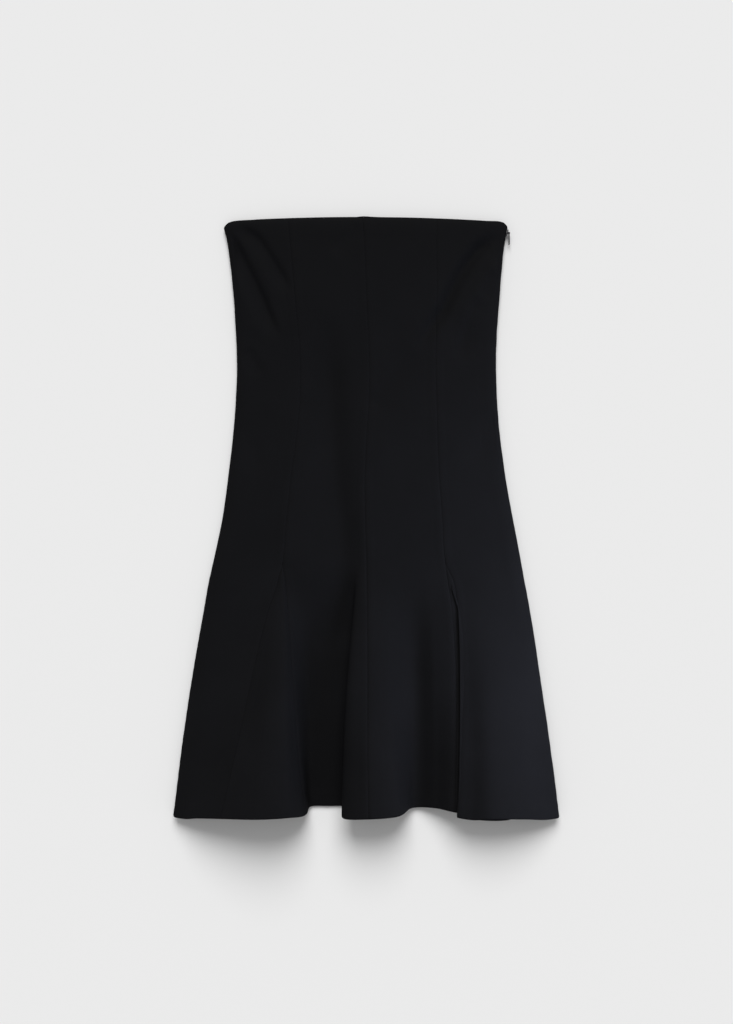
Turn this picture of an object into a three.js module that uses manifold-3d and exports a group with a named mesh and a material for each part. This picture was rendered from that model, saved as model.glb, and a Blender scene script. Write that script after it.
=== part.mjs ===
// A strapless, princess-seamed mini dress in black crepe, laid flat on its back.
// Millimetres. +X is the picture's right, +Y runs from the hem to the neckline and +Z is up.
// The origin is on the surface below the middle of the dress.
//
// The dress is one tube of cloth. Each cross-section of the tube is a chain of named places
// (edges, seams, fold crests and fold feet), and every panel is the stretch of the chain
// between two seams, followed from the neckline to the hem.

import * as THREE from "three";
import { mergeVertices } from "three/addons/utils/BufferGeometryUtils.js";
import Module from "manifold-3d";

const wasm = await Module();
wasm.setup();

// Driving dimensions
const CLOTH = 1.5;            // wall of each panel, with its seam allowances
const SEAM_GAP = 0.3;         // panels stand this far apart at a seam
const APEX_DOWN = 455;        // the godets start this far below the neckline
const REST_CLEARANCE = 0.9;   // the front never comes nearer to the back than this
const NECK_DOME = 5.3;        // the neckline dips this much from the centre to the sides
const NECK_TILT = 0.0035;     // it slopes down a little to the right
const NECK_POINT = 0.8;       // and its centre seam stands up by this much
const NECK_CORNER = 13;       // how far the rounded top corners drop at the side seams
const BACK_NECK_DOWN = 8;     // the back's top edge lies just below the front's
const BODICE_ROWS = 15;
const SKIRT_ROWS = 15;
const GODET_TIP = 0.024;      // a godet's point, as a share of the skirt's length
const FOOTPRINT_CENTRE = new THREE.Vector3(0.8, 400, 0);

// Sections of the bodice and hip: distance below the neckline, then x of the outline and
// seams, the height of the crown over the middle and the radius of the rolled side edges.
const BODICE = [
  { down: 0, leftEdge: -187, leftSeam: -104, centre: -6, rightSeam: 93, rightEdge: 186.7, crown: 13, roll: 4.8 },
  { down: 13, leftEdge: -190, leftSeam: -103, centre: -5, rightSeam: 92.5, rightEdge: 186.7, crown: 15, roll: 4.8 },
  { down: 29, leftEdge: -186, leftSeam: -102, centre: -3.5, rightSeam: 92, rightEdge: 183.7, crown: 16, roll: 4.8 },
  { down: 56, leftEdge: -182, leftSeam: -99.5, centre: -2.3, rightSeam: 92, rightEdge: 180.2, crown: 17, roll: 4.8 },
  { down: 109, leftEdge: -176.5, leftSeam: -95, centre: -0.5, rightSeam: 92.5, rightEdge: 175.7, crown: 17, roll: 4.8 },
  { down: 162, leftEdge: -173.5, leftSeam: -90, centre: 2, rightSeam: 91.5, rightEdge: 172.2, crown: 15, roll: 4.8 },
  { down: 202, leftEdge: -172.5, leftSeam: -88, centre: 3.4, rightSeam: 91, rightEdge: 171.7, crown: 14, roll: 4.8 },
  { down: 242, leftEdge: -174, leftSeam: -89, centre: 2.5, rightSeam: 92, rightEdge: 172.7, crown: 14, roll: 4.8 },
  { down: 295, leftEdge: -178, leftSeam: -94, centre: -0.8, rightSeam: 93.5, rightEdge: 177.2, crown: 15, roll: 5 },
  { down: 348, leftEdge: -184.5, leftSeam: -101, centre: -3, rightSeam: 95.5, rightEdge: 184.7, crown: 16, roll: 5.2 },
  { down: 402, leftEdge: -192.5, leftSeam: -106.5, centre: -2.3, rightSeam: 99.5, rightEdge: 194.2, crown: 17, roll: 5.5 },
];

// Sections of the skirt. Each godet opens between an outer and an inner seam.
const SKIRT = [
  { down: 455, leftEdge: -203.5, leftSeam: -111, leftInner: -111, centre: -0.7,
    rightInner: 103, rightSeam: 103, rightEdge: 204.2, crown: 18, roll: 6 },
  { down: 485, leftEdge: -210, leftSeam: -118, leftInner: -107.5, centre: -0.3,
    rightInner: 106, rightSeam: 114.5, rightEdge: 209.7, crown: 18, roll: 6.4 },
  { down: 525, leftEdge: -217, leftSeam: -131, leftInner: -103.5, centre: 0.2,
    rightInner: 110, rightSeam: 118.3, rightEdge: 216.7, crown: 18, roll: 7 },
  { down: 600, leftEdge: -230, leftSeam: -149, leftInner: -97.7, centre: 0.6,
    rightInner: 113.5, rightSeam: 117.2, rightEdge: 228.2, crown: 18, roll: 8.2 },
  { down: 700, leftEdge: -245, leftSeam: -170, leftInner: -90.5, centre: 0.7,
    rightInner: 113, rightSeam: 112.8, rightEdge: 242.7, crown: 18, roll: 9.6 },
  { down: 795, leftEdge: -256.4, leftSeam: -191.5, leftInner: -79, centre: 2,
    rightInner: 111, rightSeam: 108.5, rightEdge: 254.7, crown: 18, roll: 10.5 },
];

// Places on the folds of the skirt: x where the fold starts (at the godets' apex), half way
// down and at the hem, the height at the hem and the share of the skirt's length in which
// that height is reached. In the bodice each keeps its share of the width between its seams.
const FOLDS = {
  leftSlope: { apexX: -160, midX: -190, hemX: -222, hemZ: 37, settle: 1, between: ["leftEdge", "leftSeam"] },
  valleyOneLeft: { apexX: -80, midX: -78.5, hemX: -74, hemZ: 4.5, settle: 0.22, between: ["leftSeam", "centre"] },
  valleyOneMiddle: { apexX: -50, midX: -50, hemX: -52, hemZ: 4.2, settle: 0.22, between: ["leftSeam", "centre"] },
  valleyOneRight: { apexX: -17, midX: -21, hemX: -28, hemZ: 5, settle: 0.2, between: ["leftSeam", "centre"] },
  middleFold: { apexX: -9, midX: -26.2, hemX: -31.8, hemZ: 43, settle: 1, between: ["leftSeam", "centre"] },
  middleShoulder: { apexX: 20, midX: 25, hemX: 43, hemZ: 48, settle: 1, between: ["centre", "rightSeam"] },
  valleyTwoLeft: { apexX: 58, midX: 68, hemX: 66, hemZ: 5, settle: 0.22, between: ["centre", "rightSeam"] },
  valleyTwoMiddle: { apexX: 82, midX: 90, hemX: 89, hemZ: 4.2, settle: 0.22, between: ["centre", "rightSeam"] },
  rightShoulder: { apexX: 120, midX: 131, hemX: 128, hemZ: 51, settle: 1, between: ["rightSeam", "rightEdge"] },
  rightPeak: { apexX: 142, midX: 152, hemX: 158, hemZ: 55, settle: 1, between: ["rightSeam", "rightEdge"] },
  rightSlope: { apexX: 172, midX: 195, hemX: 209, hemZ: 40, settle: 1, between: ["rightSeam", "rightEdge"] },
};

// Heights of the seams at the hem, reached as the folds' are.
const SEAM_HEIGHTS = {
  leftSeam: { hemZ: 52, settle: 1 },
  leftInner: { hemZ: 25, settle: 0.5 },
  centre: { hemZ: 58, settle: 1 },
  rightInner: { hemZ: 4.5, settle: 0.22 },
  rightSeam: { hemZ: 40, settle: 1 },
};

// The left godet arches into the left lobe: shares of its width, and how far each place
// stands at the hem above a straight line between the godet's seams.
const LEFT_LOBE = {
  leftPeak: { share: 0.475, bulge: 29 },
  leftShoulder: { share: 0.84, bulge: 33 },
};
const BULGE_GROWTH = 1.3;

// The right godet is tucked under the right lobe, like an inverted pleat.
const TUCK = { start: 0.1, depth: 74, gap: 4.4, bend: 0.6, rise: 0.3 };

// The left side seam has slid under the edge at the hem by this much.
const LEFT_WRAP = { start: 1.5, hem: 60 };

// Where the hem ends at each place on the section, below the neckline.
const HEM = {
  leftUnder: 781, leftBottom: 789, leftEdge: 793, leftRoll: 794, leftSlope: 790, leftSeam: 787.5,
  leftPeak: 785, leftShoulder: 784.5, leftInner: 788, valleyOneLeft: 781, valleyOneMiddle: 780.4,
  valleyOneRight: 781, middleFold: 788.6, centre: 786.8, middleShoulder: 785.3,
  valleyTwoLeft: 782.5, valleyTwoMiddle: 783, rightInner: 786.5, tuckLower: 794, tuckTip: 799.8,
  tuckUpper: 796, rightSeam: 786.5, rightShoulder: 789, rightPeak: 788, rightSlope: 790.7,
  rightRoll: 795, rightEdge: 794, rightBottom: 789, backRight: 778, backLeft: 777, backSeam: 781,
};

// How many steps the cloth takes from each place to the next one.
const STEPS = {
  leftUnder: 2, leftBottom: 3, leftEdge: 3, leftRoll: 3, leftSlope: 3, leftSeam: 3, leftPeak: 3,
  leftShoulder: 3, leftInner: 3, valleyOneLeft: 2, valleyOneMiddle: 2, valleyOneRight: 4,
  middleFold: 4, centre: 3, middleShoulder: 4, valleyTwoLeft: 2, valleyTwoMiddle: 2,
  rightInner: 2, tuckLower: 4, tuckTip: 4, tuckUpper: 3, rightSeam: 3, rightShoulder: 3,
  rightPeak: 3, rightSlope: 3, rightRoll: 3, rightEdge: 3, rightBottom: 2, backRight: 3, backLeft: 2,
};

// Soft creases in the bodice: a line of points (x, down), the depth and the half width.
const CREASES = [
  { line: [[-174, 41], [-145, 104], [-116, 164]], depth: 2.6, width: 13 },
  { line: [[-179, 10], [-152, 16], [-113, 77], [-102, 101]], depth: 2.4, width: 12 },
  { line: [[177, 22], [150, 36], [129, 69], [101, 123], [64, 180]], depth: 3, width: 13 },
  { line: [[147, 106], [129, 164], [118, 192]], depth: 1.6, width: 12 },
];
const CREASE_FADE = 0.25;     // share of a crease's length over which each end fades

// The concealed zip in the side seam at the picture's right
const ZIP = { topDown: 16, bottomDown: 306, behind: 3.9, halfWidth: 1.6, tape: 1, rows: 16 };
const SLIDER = { down: 20, lean: -0.19, length: 9, height: 5.4, thick: 1.2 };
const PIN = { out: 3.1, radius: 0.5 };
const EAR = { inner: 1.8, outer: 2.6, halfLength: 1, reach: 0.8 };
const PULL = { hole: 0.8, ring: 1.3, thick: 1.4, ringWidth: 3, neck: 2.2, length: 15.6, width: 4.2 };
const ROUND_STEPS = 20;

const crepe = (shade) => new THREE.MeshStandardMaterial({ color: shade, roughness: 0.86, metalness: 0 });
const CREPE_FRONT = crepe(0x1a1a1e);
const CREPE_BACK = crepe(0x18181b);
const TAPE = new THREE.MeshStandardMaterial({ color: 0x121214, roughness: 0.9, metalness: 0 });
const GUNMETAL = new THREE.MeshStandardMaterial({ color: 0x3d3e42, roughness: 0.35, metalness: 0.95 });

// One column of a table as a smooth function of the distance below the neckline
function track(rows, key) {
  const at = rows.map((row) => row.down);
  const value = rows.map((row) => row[key]);
  const last = rows.length - 1;
  const slope = value.map((_, i) => {
    const a = Math.max(i - 1, 0);
    const b = Math.min(i + 1, last);
    return (value[b] - value[a]) / (at[b] - at[a]);
  });
  return (down) => {
    let i = 0;
    while (i < last - 1 && down > at[i + 1]) i += 1;
    const span = at[i + 1] - at[i];
    const s = THREE.MathUtils.clamp((down - at[i]) / span, 0, 1);
    const s2 = s * s;
    const s3 = s2 * s;
    return (2 * s3 - 3 * s2 + 1) * value[i] + (s3 - 2 * s2 + s) * span * slope[i]
      + (3 * s2 - 2 * s3) * value[i + 1] + (s3 - s2) * span * slope[i + 1];
  };
}

const ALL_ROWS = [...BODICE.map((row) => ({ ...row, leftInner: row.leftSeam, rightInner: row.rightSeam })), ...SKIRT];
const COLUMNS = ["leftEdge", "leftSeam", "leftInner", "centre", "rightInner", "rightSeam", "rightEdge", "crown", "roll"];
const OUTLINE = Object.fromEntries(COLUMNS.map((key) => [key, track(ALL_ROWS, key)]));

// The plain crown of the front over the back, away from the skirt's folds
function crownHeight(x, down) {
  const edge = x < 0 ? OUTLINE.leftEdge(down) : OUTLINE.rightEdge(down);
  const side = 2 * OUTLINE.roll(down);
  const share = Math.min(Math.abs(x / edge), 1);
  return side + (OUTLINE.crown(down) - side) * (1 - share ** 2.4);
}

// How far a place has gone from its height at the apex to its height at the hem
function growth(t, settle) {
  return settle < 1 ? THREE.MathUtils.smoothstep(t, 0, settle) : t;
}

function foldHeight(apexX, shape, t) {
  return THREE.MathUtils.lerp(crownHeight(apexX, APEX_DOWN), shape.hemZ, growth(t, shape.settle));
}

// A curve through three values at 0, 1/2 and 1
function throughThree(a, b, c, t) {
  return a * (1 - t) * (1 - 2 * t) + 4 * b * t * (1 - t) + c * t * (2 * t - 1);
}

// The neckline: a shallow dome with rounded corners
function neckDown(name, x) {
  if (name === "leftEdge" || name === "rightEdge") return NECK_CORNER;
  if (name === "leftRoll" || name === "rightRoll") return NECK_DOME + 1.8;
  if (name.endsWith("Bottom") || name === "leftUnder" || name === "backSeam") return NECK_CORNER - 2;
  if (name.startsWith("back")) return BACK_NECK_DOWN;
  const point = name === "centre" ? 0 : NECK_POINT;
  return NECK_DOME * (x / 180) ** 2 + NECK_TILT * x + point;
}

// Distance below the neckline at a stage: 0 at the neckline, 1 at the apex and 2 at the hem
function downAt(name, neckX, stage) {
  const top = neckDown(name, neckX);
  if (stage <= 1) return THREE.MathUtils.lerp(top, APEX_DOWN, stage);
  return THREE.MathUtils.lerp(APEX_DOWN, HEM[name], stage - 1);
}

function place(name, x, down, z) {
  return { name, point: new THREE.Vector3(x, -down, z) };
}

function seamPlace(name, stage) {
  const down = downAt(name, OUTLINE[name](0), stage);
  const x = OUTLINE[name](down);
  const t = stage - 1;
  const z = t <= 0 ? crownHeight(x, down) : foldHeight(OUTLINE[name](APEX_DOWN), SEAM_HEIGHTS[name], t);
  return place(name, x, down, z);
}

function foldPlace(name, stage) {
  const fold = FOLDS[name];
  const [from, to] = fold.between.map((key) => OUTLINE[key]);
  const share = (fold.apexX - from(APEX_DOWN)) / (to(APEX_DOWN) - from(APEX_DOWN));
  const down = downAt(name, THREE.MathUtils.lerp(from(0), to(0), share), stage);
  const t = stage - 1;
  if (t <= 0) {
    const x = THREE.MathUtils.lerp(from(down), to(down), share);
    return place(name, x, down, crownHeight(x, down));
  }
  return place(name, throughThree(fold.apexX, fold.midX, fold.hemX, t), down, foldHeight(fold.apexX, fold, t));
}

// The rolled side edges: side is -1 on the left and 1 on the right
function rollPlaces(side, stage) {
  const names = side < 0 ? ["leftBottom", "leftEdge", "leftRoll"] : ["rightBottom", "rightEdge", "rightRoll"];
  const edge = side < 0 ? OUTLINE.leftEdge : OUTLINE.rightEdge;
  const shape = [{ inwards: 1.25, up: 0 }, { inwards: 0, up: 1 }, { inwards: 1.45, up: 2 }];
  return names.map((name, i) => {
    const down = downAt(name, 0, stage);
    const r = OUTLINE.roll(down);
    return place(name, edge(down) - side * shape[i].inwards * r, down, shape[i].up * r);
  });
}

function leftGodet(stage) {
  const outer = seamPlace("leftSeam", stage);
  const inner = seamPlace("leftInner", stage);
  const crests = Object.entries(LEFT_LOBE).map(([name, crest]) => {
    const foot = outer.point.clone().lerp(inner.point, crest.share);
    return place(name, foot.x, downAt(name, 0, stage), foot.z + crest.bulge * (stage - 1) ** BULGE_GROWTH);
  });
  return [outer, ...crests, inner];
}

function rightGodet(stage) {
  const inner = seamPlace("rightInner", stage);
  const outer = seamPlace("rightSeam", stage);
  const t = stage - 1;
  const open = THREE.MathUtils.clamp((t - TUCK.start) / (1 - TUCK.start), 0, 1);
  const climb = outer.point.z - inner.point.z;
  const gap = Math.min(TUCK.gap, climb / 4);
  const shapes = t <= TUCK.start
    ? [[0.3, 0.2], [0.5, 0.5], [0.75, 0.8]].map(([across, up]) => [
      THREE.MathUtils.lerp(inner.point.x, outer.point.x, across), inner.point.z + climb * up])
    : [
      [inner.point.x + TUCK.depth * open * TUCK.bend + 2, inner.point.z],
      [inner.point.x + TUCK.depth * open + 4, inner.point.z + gap / 2],
      [inner.point.x + TUCK.depth * open * TUCK.bend + 3, inner.point.z + gap + TUCK.rise * (climb - gap)]];
  const names = ["tuckLower", "tuckTip", "tuckUpper"];
  const folds = shapes.map(([x, z], i) => place(names[i], x, downAt(names[i], 0, stage), z));
  return [inner, ...folds, outer];
}

function backPlaces(leftUnder, stage) {
  const flat = [["backRight", 150], ["backLeft", -120]].map(([name, hemX]) => {
    const down = downAt(name, 0, stage);
    const x = hemX * OUTLINE.rightEdge(down) / OUTLINE.rightEdge(SKIRT.at(-1).down);
    return place(name, x, down, 0);
  });
  return [...flat, { name: "backSeam", point: leftUnder.point.clone() }];
}

// The whole section at a stage, clockwise from the left side seam over the front and back
function sectionPlaces(stage) {
  const [leftBottom, leftEdge, leftRoll] = rollPlaces(-1, stage);
  const [rightBottom, rightEdge, rightRoll] = rollPlaces(1, stage);
  const wrap = THREE.MathUtils.lerp(LEFT_WRAP.start, LEFT_WRAP.hem, Math.max(stage - 1, 0) ** 1.3);
  const leftUnder = place("leftUnder", leftBottom.point.x + wrap, downAt("leftUnder", 0, stage), 0);
  const fold = (name) => foldPlace(name, stage);
  const open = stage > 1;
  return [
    leftUnder, leftBottom, leftEdge, leftRoll, fold("leftSlope"),
    ...(open ? leftGodet(stage) : [seamPlace("leftSeam", stage)]),
    fold("valleyOneLeft"), fold("valleyOneMiddle"), fold("valleyOneRight"), fold("middleFold"),
    seamPlace("centre", stage), fold("middleShoulder"), fold("valleyTwoLeft"), fold("valleyTwoMiddle"),
    ...(open ? rightGodet(stage) : [seamPlace("rightSeam", stage)]),
    fold("rightShoulder"), fold("rightPeak"), fold("rightSlope"), rightRoll, rightEdge, rightBottom,
    ...backPlaces(leftUnder, stage),
  ];
}

// Depth of the bodice's creases at a point of the front
function creaseDepth(x, down) {
  let depth = 0;
  for (const crease of CREASES) {
    const total = crease.line.length - 1;
    for (let i = 0; i < total; i += 1) {
      const [ax, ay] = crease.line[i];
      const [bx, by] = crease.line[i + 1];
      const length2 = (bx - ax) ** 2 + (by - ay) ** 2;
      const s = THREE.MathUtils.clamp(((x - ax) * (bx - ax) + (down - ay) * (by - ay)) / length2, 0, 1);
      const away = Math.hypot(x - ax - s * (bx - ax), down - ay - s * (by - ay));
      const along = (i + s) / total;
      const fade = Math.min(1, along / CREASE_FADE, (1 - along) / CREASE_FADE);
      depth = Math.max(depth, crease.depth * fade * Math.exp(-((away / crease.width) ** 2)));
    }
  }
  return depth;
}

// The cloth at a stage: a point on its outer face and one on its inner face, for any
// position along the chain of places. Positions count places, so 3.5 is half way from the
// fourth place to the fifth. A shift moves the point along the chain by that distance.
function sectionCurve(stage) {
  const places = sectionPlaces(stage);
  const curve = new THREE.CatmullRomCurve3(places.map((p) => p.point), false, "centripetal");
  const last = places.length - 1;
  const index = (name) => places.findIndex((p) => p.name === name);
  const frontFrom = index("leftRoll");
  const frontTo = index("rightRoll");
  const sample = (position, offset = 0, shift = 0) => {
    const t = THREE.MathUtils.clamp(position / last, 0, 1);
    const point = curve.getPoint(t);
    const tangent = curve.getTangent(t).setY(0).normalize();
    const normal = new THREE.Vector3(-tangent.z, 0, tangent.x);
    const onFront = position >= frontFrom && position <= frontTo;
    const lowest = onFront ? 2 * CLOTH + REST_CLEARANCE : 0;
    point.z = Math.max(point.z, lowest);
    if (onFront) point.z -= creaseDepth(point.x, -point.y);
    return point.addScaledVector(normal, -offset).addScaledVector(tangent, shift);
  };
  return { places, index, sample };
}

// One row of a panel's points between two seams, at a depth below the outer face. The ends
// stand half a seam gap inside the seams.
function panelRow(section, from, to, offset) {
  const first = section.index(from);
  const last = section.index(to);
  const row = [section.sample(first, offset, SEAM_GAP / 2)];
  for (let i = first; i < last; i += 1) {
    const steps = STEPS[section.places[i].name];
    const start = i === first ? 1 : 0;
    for (let k = start; k < steps; k += 1) row.push(section.sample(i + k / steps, offset));
  }
  row.push(section.sample(last, offset, -SEAM_GAP / 2));
  return row;
}

// A closed wall between two grids of points, rows from the neckline to the hem
function wall(outer, inner) {
  const rows = outer.length;
  const columns = outer[0].length;
  const size = rows * columns;
  const vertices = [...outer.flat(), ...inner.flat()].flatMap((p) => [p.x, p.y, p.z]);
  const out = (r, c) => r * columns + c;
  const inn = (r, c) => size + r * columns + c;
  const faces = [];
  const quad = (a, b, c, d) => faces.push(a, b, c, a, c, d);
  for (let r = 0; r < rows - 1; r += 1) {
    for (let c = 0; c < columns - 1; c += 1) {
      quad(out(r, c), out(r + 1, c), out(r + 1, c + 1), out(r, c + 1));
      quad(inn(r, c), inn(r, c + 1), inn(r + 1, c + 1), inn(r + 1, c));
    }
    quad(out(r, 0), inn(r, 0), inn(r + 1, 0), out(r + 1, 0));
    quad(out(r, columns - 1), out(r + 1, columns - 1), inn(r + 1, columns - 1), inn(r, columns - 1));
  }
  for (let c = 0; c < columns - 1; c += 1) {
    quad(out(0, c), out(0, c + 1), inn(0, c + 1), inn(0, c));
    quad(out(rows - 1, c), inn(rows - 1, c), inn(rows - 1, c + 1), out(rows - 1, c + 1));
  }
  const geometry = new THREE.BufferGeometry();
  geometry.setAttribute("position", new THREE.Float32BufferAttribute(vertices, 3));
  geometry.setIndex(faces);
  geometry.computeVertexNormals();
  return geometry;
}

const spread = (from, to, count) => Array.from({ length: count + 1 }, (_, i) => from + (to - from) * i / count);
const BODICE_STAGES = spread(0, 1, BODICE_ROWS);
const BELOW_APEX = [1 + GODET_TIP, ...spread(1, 2, SKIRT_ROWS).slice(1)];
const WHOLE = [...BODICE_STAGES, ...BELOW_APEX];

// from and to may name two places each: the one above the apex and the one below it
function panel(name, material, stages, from, to) {
  const outer = [];
  const inner = [];
  for (const stage of stages) {
    const section = sectionCurve(stage);
    const pick = (names) => (stage > 1 ? names.at(-1) : names[0]);
    outer.push(panelRow(section, pick(from), pick(to), 0));
    inner.push(panelRow(section, pick(from), pick(to), CLOTH));
  }
  const mesh = new THREE.Mesh(wall(outer, inner), material);
  mesh.name = name;
  return mesh;
}

// The zip's closed tape stands on its edge behind the side seam, just inside the cloth.
function zipTape() {
  const outer = [];
  const inner = [];
  for (const down of spread(ZIP.topDown, ZIP.bottomDown, ZIP.rows)) {
    const middle = OUTLINE.roll(down);
    const face = OUTLINE.rightEdge(down) - ZIP.behind;
    const heights = spread(middle + ZIP.halfWidth, middle - ZIP.halfWidth, 2);
    outer.push(heights.map((z) => new THREE.Vector3(face, -down, z)));
    inner.push(heights.map((z) => new THREE.Vector3(face - ZIP.tape, -down, z)));
  }
  const mesh = new THREE.Mesh(wall(outer, inner), TAPE);
  mesh.name = "zip_tape";
  return mesh;
}

// Joins closed meshes into one solid
function join(geometries) {
  const solids = geometries.map((geometry) => {
    const bare = geometry.clone();
    bare.deleteAttribute("normal");
    bare.deleteAttribute("uv");
    const merged = mergeVertices(bare, 1e-4);
    return new wasm.Manifold(new wasm.Mesh({
      numProp: 3,
      vertProperties: Float32Array.from(merged.attributes.position.array),
      triVerts: Uint32Array.from(merged.index.array),
    }));
  });
  const mesh = solids.reduce((all, solid) => all.add(solid)).getMesh();
  const geometry = new THREE.BufferGeometry();
  geometry.setAttribute("position", new THREE.BufferAttribute(mesh.vertProperties, 3));
  geometry.setIndex(new THREE.BufferAttribute(mesh.triVerts, 1));
  geometry.computeVertexNormals();
  return geometry;
}

function block(x0, x1, y0, y1, z0, z1) {
  const box = new THREE.BoxGeometry(x1 - x0, y1 - y0, z1 - z0);
  return box.translate((x0 + x1) / 2, (y0 + y1) / 2, (z0 + z1) / 2);
}

// An outline in the XY plane given a thickness along Z, centred on it
function slab(shape, width) {
  const geometry = new THREE.ExtrudeGeometry(shape, { depth: width, bevelEnabled: false, curveSegments: ROUND_STEPS });
  return geometry.translate(0, 0, -width / 2);
}

// The slider: a plate against the seam, two ears and the pin that the pull hangs on
function zipSlider() {
  const half = SLIDER.length / 2;
  const plate = new THREE.Shape();
  plate.moveTo(SEAM_GAP, -half + 1);
  plate.lineTo(SEAM_GAP, half);
  plate.lineTo(SEAM_GAP + SLIDER.thick, half - 1);
  plate.lineTo(SEAM_GAP + SLIDER.thick, -half + 2);
  plate.lineTo(SEAM_GAP + SLIDER.thick * 0.6, -half + 1);
  plate.closePath();
  const ear = (side) => block(SEAM_GAP + SLIDER.thick / 2, PIN.out + EAR.reach, -EAR.halfLength, EAR.halfLength,
    side > 0 ? EAR.inner : -EAR.outer, side > 0 ? EAR.outer : -EAR.inner);
  const pin = new THREE.CylinderGeometry(PIN.radius, PIN.radius, EAR.outer + EAR.inner, ROUND_STEPS);
  pin.rotateX(Math.PI / 2).translate(PIN.out, 0, 0);
  return join([slab(plate, SLIDER.height), ear(1), ear(-1), pin]);
}

// The pull: a ring round the slider's pin, a neck and a flat tab, seen edge on from above
function zipPull() {
  const ring = new THREE.Shape();
  ring.absarc(0, 0, PULL.ring, 0, 2 * Math.PI, false);
  const hole = new THREE.Path();
  hole.absarc(0, 0, PULL.hole, 0, 2 * Math.PI, true);
  ring.holes.push(hole);
  const half = PULL.thick / 2;
  const neck = block(-half * 0.8, half * 0.8, -PULL.neck - 0.5, -(PULL.hole + PULL.ring) / 2,
    -PULL.ringWidth / 2, PULL.ringWidth / 2);
  const tab = new THREE.Shape();
  tab.moveTo(-half * 0.8, -PULL.neck);
  tab.lineTo(-half, -PULL.length + half);
  tab.absarc(0, -PULL.length + half, half, Math.PI, 2 * Math.PI, false);
  tab.lineTo(half * 0.8, -PULL.neck);
  tab.closePath();
  return join([slab(ring, PULL.ringWidth), neck, slab(tab, PULL.width)]);
}

function hardPiece(name, geometry, position, lean) {
  const mesh = new THREE.Mesh(geometry, GUNMETAL);
  mesh.name = name;
  mesh.position.copy(position);
  mesh.rotation.z = lean;
  return mesh;
}

const dress = new THREE.Group();
dress.position.copy(FOOTPRINT_CENTRE);
dress.add(
  panel("front_side_left", CREPE_FRONT, WHOLE, ["leftUnder"], ["leftSeam"]),
  panel("front_centre_left", CREPE_FRONT, WHOLE, ["leftSeam", "leftInner"], ["centre"]),
  panel("front_centre_right", CREPE_FRONT, WHOLE, ["centre"], ["rightSeam", "rightInner"]),
  panel("front_side_right", CREPE_FRONT, WHOLE, ["rightSeam"], ["rightEdge"]),
  panel("godet_left", CREPE_FRONT, BELOW_APEX, ["leftSeam"], ["leftInner"]),
  panel("godet_right", CREPE_FRONT, BELOW_APEX, ["rightInner"], ["rightSeam"]),
  panel("back", CREPE_BACK, WHOLE, ["rightEdge"], ["backSeam"]),
  zipTape(),
);

// The slider sits on the side seam and leans with it. The pull hangs straight down from it.
const seat = new THREE.Vector3(OUTLINE.rightEdge(SLIDER.down), -SLIDER.down, OUTLINE.roll(SLIDER.down));
const pinOffset = new THREE.Vector3(PIN.out, 0, 0).applyAxisAngle(new THREE.Vector3(0, 0, 1), SLIDER.lean);
dress.add(
  hardPiece("zip_slider", zipSlider(), seat, SLIDER.lean),
  hardPiece("zip_pull", zipPull(), seat.clone().add(pinOffset), 0),
);

export default dress;
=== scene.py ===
# A strapless, princess-seamed mini dress in black crepe, laid flat on its back.
# Blender works in metres. +X is the picture's right, +Y runs from the hem to the neckline
# and +Z is up. The dress is one tube of cloth: each section of it is a chain of named places
# (edges, seams, fold crests and fold feet), and each panel is the stretch between two seams.

import math

import bpy
import numpy as np
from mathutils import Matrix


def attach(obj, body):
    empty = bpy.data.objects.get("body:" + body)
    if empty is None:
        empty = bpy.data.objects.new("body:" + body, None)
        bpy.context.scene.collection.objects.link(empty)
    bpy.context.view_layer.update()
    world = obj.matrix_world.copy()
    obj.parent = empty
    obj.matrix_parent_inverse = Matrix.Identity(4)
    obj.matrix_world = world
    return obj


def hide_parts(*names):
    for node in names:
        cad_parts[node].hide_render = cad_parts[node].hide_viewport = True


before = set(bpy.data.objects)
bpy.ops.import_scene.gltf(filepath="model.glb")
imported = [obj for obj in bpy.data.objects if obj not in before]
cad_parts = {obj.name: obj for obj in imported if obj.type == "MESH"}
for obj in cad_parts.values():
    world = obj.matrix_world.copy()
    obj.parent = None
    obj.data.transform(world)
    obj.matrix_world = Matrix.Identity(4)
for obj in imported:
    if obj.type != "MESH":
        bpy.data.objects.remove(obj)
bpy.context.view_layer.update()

MM = 0.001

# Driving dimensions, in millimetres
CLOTH = 1.3                 # thickness of the crepe at its edges
APEX_DOWN = 455             # the godets start this far below the neckline
FRONT_LOWEST = 3.9          # the front rests on the back at this height
NECK_DOME = 5.3             # the neckline dips this much from the centre to the sides
NECK_TILT = 0.0035          # it slopes down a little to the right
NECK_POINT = 0.8            # and its centre seam stands up by this much
NECK_CORNER = 13            # how far the rounded top corners drop at the side seams
BACK_NECK_DOWN = 8          # the back's neckline lies this much lower
GODET_TIP = 0.012           # where a godet's point starts, as a share of the skirt's length
FOOTPRINT_CENTRE = (0.8, 400)
COLUMN_PITCH = 2.6          # between the points of a front panel, across it
BACK_PITCH = 7.0            # and across the back
ROW_PITCH = 3.6             # and along every panel
SKIRT_LENGTH = 330
CROWN_POWER = 2.4           # how flat the crown is in its middle

# The zip behind the side seam, in millimetres
ZIP_TOP = 16                # below the neckline
ZIP_BOTTOM = 306
ZIP_POINTS = 40             # points along the line that it follows
ZIP_BEHIND = 3.9            # the tape's face lies this far behind the seam
RIBBON = {"Width": 3.2, "Thickness": 0.45}
COIL = {"Pitch": 1.25, "Height": 2.3, "Depth": 0.9, "Wire": 0.4}
COIL_SEED = 3
COIL_TURN = 0.06            # how unevenly its loops are turned, in radians

# The hem's blind stitches, inside the dress
STITCH = {"Pitch": 6.0, "Length": 2.6, "Thickness": 0.34}
STITCH_SEED = 8
STITCH_TURN = 0.22
STITCH_UP = 17.5            # above the hem

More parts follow.
